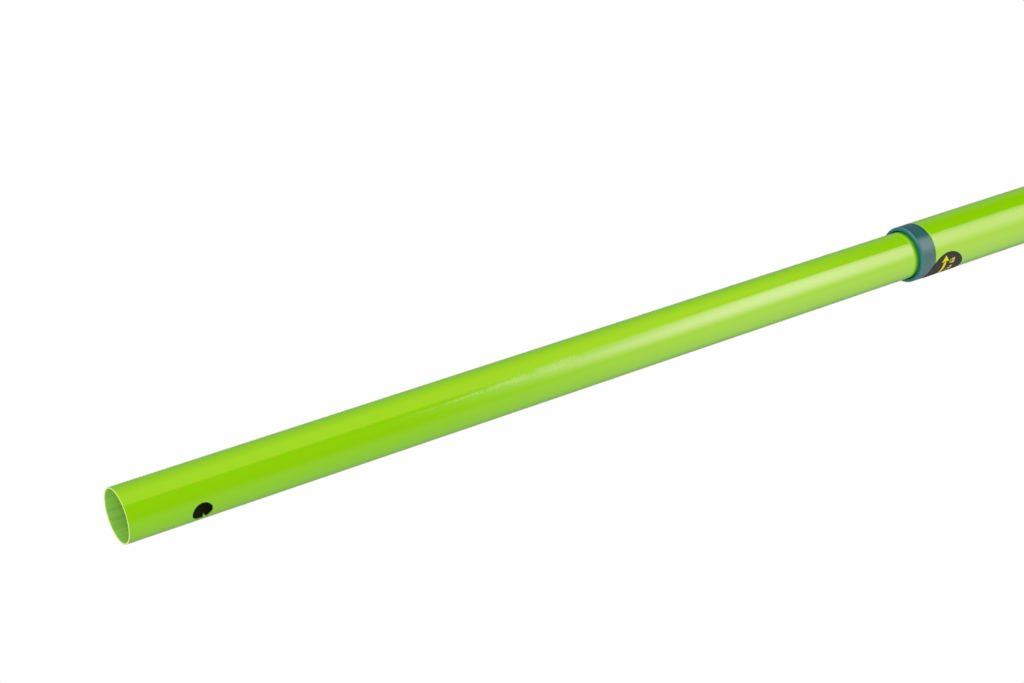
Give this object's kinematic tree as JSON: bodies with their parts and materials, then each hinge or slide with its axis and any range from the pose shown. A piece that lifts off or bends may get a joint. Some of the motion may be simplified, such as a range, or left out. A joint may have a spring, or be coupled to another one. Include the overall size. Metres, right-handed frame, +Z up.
{
  "type": "telescopic pole",
  "caption": "Two-stage telescopic pole for a hand-held traffic paddle: thin tube with an open socket slides in a thick tube and locks with an internal eccentric cam.",
  "frame": {"origin": "bottom centre of the end cap, on the pole's axis", "axes": "+Z up along the pole towards the open mouth, -Y is the side that faces the viewer, +X to its right"},
  "size_m": [0.0324, 0.0324, 1.121],
  "materials": {
    "outer_tube": "gloss enamel",
    "inner_tube": "gloss enamel",
    "guide_collar": "satin moulded",
    "lock_label": "printed film",
    "hand_grip": "soft matte",
    "end_cap": "satin moulded",
    "cap_screw": "zinc plated",
    "lock_plug": "moulded nylon",
    "plug_pins": "ground",
    "guide_ring": "natural acetal",
    "cam_ring": "natural nylon",
    "lock_washer": "zinc plated",
    "lock_screw": "zinc plated"
  },
  "bodies": {
    "handle": {"outer_tube": "outer_tube", "guide_collar": "guide_collar", "lock_label": "lock_label", "hand_grip": "hand_grip", "end_cap": "end_cap", "cap_screw": "cap_screw"},
    "slider": {"guide_ring": "guide_ring"},
    "draw_tube": {"inner_tube": "inner_tube", "lock_plug": "lock_plug", "plug_pins": "plug_pins", "lock_washer": "lock_washer", "lock_screw": "lock_screw"},
    "cam": {"cam_ring": "cam_ring"}
  },
  "joints": [
    {"name": "extension", "type": "slide", "parent": "handle", "child": "slider", "axis": [0, 0, 1], "range_m": [-0.326, 0.249]},
    {"name": "twist_lock", "type": "hinge", "parent": "slider", "child": "draw_tube", "pos_m": [0, 0, 0.421], "axis": [0, 0, -1], "range_deg": [0, 90]},
    {"name": "cam_ride", "type": "hinge", "parent": "draw_tube", "child": "cam", "pos_m": [0.0005, 0, 0.4035], "axis": [0, 0, -1], "range_deg": [-90, 0]}
  ],
  "couplings": [
    {"joint": "cam_ride", "follows": "twist_lock", "ratio": -1}
  ]
}
